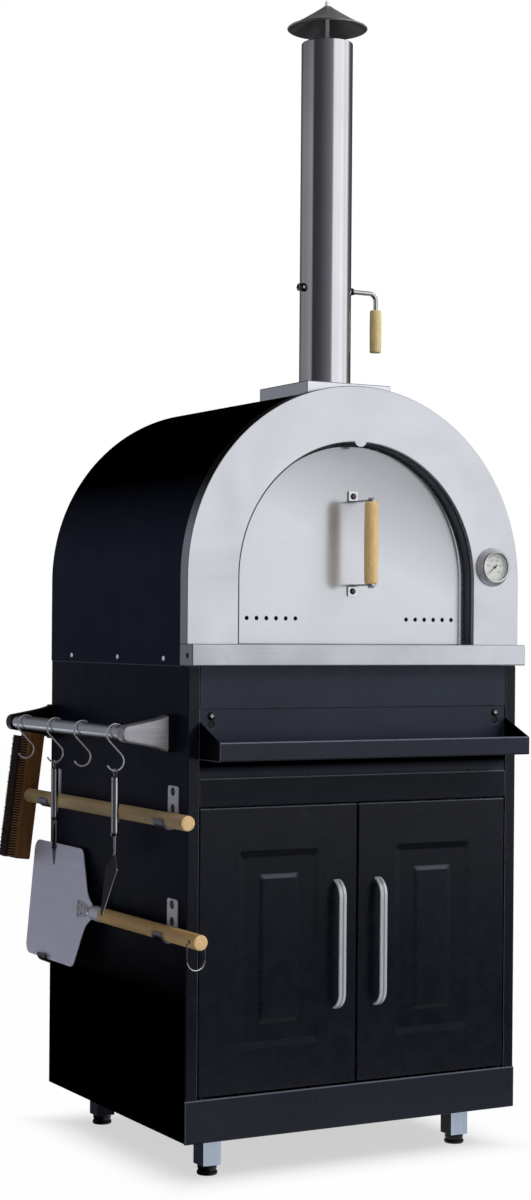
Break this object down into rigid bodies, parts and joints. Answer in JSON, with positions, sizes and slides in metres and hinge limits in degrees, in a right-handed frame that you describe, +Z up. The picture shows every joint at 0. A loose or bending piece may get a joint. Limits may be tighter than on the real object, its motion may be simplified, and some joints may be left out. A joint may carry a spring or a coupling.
{
  "type": "outdoor pizza oven table",
  "caption": "Arched wood-fired pizza oven with chimney on a double-door cabinet, with front tray, side tool bar and hanging tools.",
  "frame": {"origin": "centre of the bottom of the whole object's box, at floor level", "axes": "+Z up, -Y towards the user at the oven door, +X to the right seen from the front"},
  "size_m": [0.759, 0.747, 2.012],
  "materials": {
    "side_paint": "satin",
    "front_paint": "satin",
    "galvanised_sheet": "matte",
    "black_plastic": "matte",
    "bright_steel": "gloss",
    "satin_chrome": "satin",
    "brushed_stainless": "brushed",
    "dark_steel": "satin",
    "gunmetal": "satin",
    "brushed_grey": "brushed",
    "strap_steel": "satin",
    "beech": "satin",
    "stained_wood": "satin",
    "bristle": "matte",
    "peel_aluminium": "satin",
    "chamber_steel": "matte",
    "ceramic_wool": "matte",
    "hearth_stone": "matte",
    "gasket_braid": "matte",
    "polished_steel": "gloss",
    "cap_paint": "satin",
    "dial_white": "matte",
    "needle_black": "matte",
    "dial_glass": "gloss",
    "foot_rubber": "matte"
  },
  "bodies": {
    "table": {"cabinet_left_side": "side_paint", "cabinet_right_side": "side_paint", "cabinet_back": "galvanised_sheet", "cabinet_base": "front_paint", "cabinet_deck": "front_paint", "cabinet_shelf": "galvanised_sheet", "upper_front_panel": "front_paint", "door_header": "front_paint", "door_catch": "black_plastic", "hinge_pins": "bright_steel", "legs": "bright_steel", "panel_screws": "dark_steel", "side_bar": "gunmetal", "side_bar_brackets": "brushed_grey", "strap_hooks": "strap_steel", "front_rail": "brushed_stainless", "front_fascia": "brushed_stainless", "oven_casing": "side_paint", "oven_back_panel": "galvanised_sheet", "inner_dome": "chamber_steel", "oven_insulation": "ceramic_wool", "hearth_board": "ceramic_wool", "hearth_stones": "hearth_stone", "door_gasket": "gasket_braid", "chimney_base": "brushed_stainless", "chimney_pipe": "polished_steel", "rain_cap": "cap_paint", "thermometer_case": "satin_chrome", "thermometer_dial": "dial_white", "thermometer_glass": "dial_glass"},
    "left_door": {"left_door": "front_paint", "left_door_handle": "satin_chrome"},
    "right_door": {"right_door": "front_paint", "right_door_handle": "satin_chrome"},
    "oven_door": {"oven_door_skin": "brushed_stainless", "oven_door_pan": "chamber_steel", "grip_brackets": "dark_steel", "door_grip": "beech"},
    "tray": {"front_tray": "front_paint"},
    "damper": {"damper_rod": "bright_steel", "damper_plate": "chamber_steel", "damper_grip": "beech"},
    "needle": {"thermometer_needle": "needle_black"},
    "brush": {"brush_pole": "beech", "brush_block": "stained_wood", "brush_bristles": "bristle"},
    "peel": {"peel_pole": "beech", "peel_blade": "peel_aluminium"},
    "peel_loop": {"peel_loop": "bright_steel"},
    "hook_1": {"s_hook_1": "bright_steel"},
    "hook_2": {"s_hook_2": "bright_steel"},
    "hook_3": {"s_hook_3": "bright_steel"},
    "hook_4": {"s_hook_4": "bright_steel"},
    "cutter": {"cutter_handle": "gunmetal"},
    "cutter_wheel": {"cutter_wheel": "bright_steel"},
    "server": {"pizza_server": "bright_steel"},
    "front_left_foot": {"front_left_foot": "foot_rubber"},
    "rear_left_foot": {"rear_left_foot": "foot_rubber"},
    "front_right_foot": {"front_right_foot": "foot_rubber"},
    "rear_right_foot": {"rear_right_foot": "foot_rubber"}
  },
  "joints": [
    {"name": "left_door_hinge", "type": "hinge", "parent": "table", "child": "left_door", "pos_m": [-0.246, -0.283, 0.38075], "axis": [0, 0, -1], "range_deg": [0, 90]},
    {"name": "right_door_hinge", "type": "hinge", "parent": "table", "child": "right_door", "pos_m": [0.346, -0.283, 0.38075], "axis": [0, 0, 1], "range_deg": [0, 90]},
    {"name": "oven_door_pull", "type": "slide", "parent": "table", "child": "oven_door", "axis": [0, -1, 0], "range_m": [0, 0.25]},
    {"name": "tray_lift", "type": "slide", "parent": "table", "child": "tray", "axis": [0, 0, 1], "range_m": [0, 0.014]},
    {"name": "damper_turn", "type": "hinge", "parent": "table", "child": "damper", "pos_m": [0.05, -0.1675, 1.5065], "axis": [-1, 0, 0], "range_deg": [0, 90]},
    {"name": "needle_turn", "type": "hinge", "parent": "table", "child": "needle", "pos_m": [0.323, -0.2905, 1.0235], "axis": [0, 1, 0], "range_deg": [0, 260], "stiffness_Nm_per_rad": 0.0005},
    {"name": "front_left_foot_level", "type": "slide", "parent": "table", "child": "front_left_foot", "axis": [0, 0, -1], "range_m": [0, 0.015]},
    {"name": "rear_left_foot_level", "type": "slide", "parent": "table", "child": "rear_left_foot", "axis": [0, 0, -1], "range_m": [0, 0.015]},
    {"name": "front_right_foot_level", "type": "slide", "parent": "table", "child": "front_right_foot", "axis": [0, 0, -1], "range_m": [0, 0.015]},
    {"name": "rear_right_foot_level", "type": "slide", "parent": "table", "child": "rear_right_foot", "axis": [0, 0, -1], "range_m": [0, 0.015]},
    {"name": "brush_lift", "type": "slide", "parent": "table", "child": "brush", "axis": [0, 0, 1], "range_m": [0, 0.03]},
    {"name": "peel_lift", "type": "slide", "parent": "table", "child": "peel", "axis": [0, 0, 1], "range_m": [0, 0.03]},
    {"name": "loop_swing", "type": "hinge", "parent": "peel", "child": "peel_loop", "pos_m": [-0.29055, -0.3555, 0.4115], "axis": [1, 0, 0], "range_deg": [-40, 40]},
    {"name": "hook_1_swing", "type": "hinge", "parent": "table", "child": "hook_1", "pos_m": [-0.3556, 0.1965, 0.739], "axis": [0, 1, 0], "range_deg": [-20, 20]},
    {"name": "hook_2_swing", "type": "hinge", "parent": "table", "child": "hook_2", "pos_m": [-0.3556, 0.065, 0.739], "axis": [0, 1, 0], "range_deg": [-3, 20]},
    {"name": "hook_3_swing", "type": "hinge", "parent": "table", "child": "hook_3", "pos_m": [-0.3556, -0.052, 0.739], "axis": [0, 1, 0], "range_deg": [-20, 20]},
    {"name": "hook_4_swing", "type": "hinge", "parent": "table", "child": "hook_4", "pos_m": [-0.3556, -0.1855, 0.739], "axis": [0, 1, 0], "range_deg": [-3, 20]},
    {"name": "cutter_swing", "type": "hinge", "parent": "hook_2", "child": "cutter", "pos_m": [-0.3556, 0.065, 0.676], "axis": [1, 0, 0], "range_deg": [-15, 15]},
    {"name": "cutter_spin", "type": "hinge", "parent": "cutter", "child": "cutter_wheel", "pos_m": [-0.3556, 0.065, 0.5274], "axis": [0.8755, -0.4833, 0], "continuous": true},
    {"name": "server_swing", "type": "hinge", "parent": "hook_4", "child": "server", "pos_m": [-0.3556, -0.1855, 0.676], "axis": [1, 0, 0], "range_deg": [-15, 15]}
  ]
}
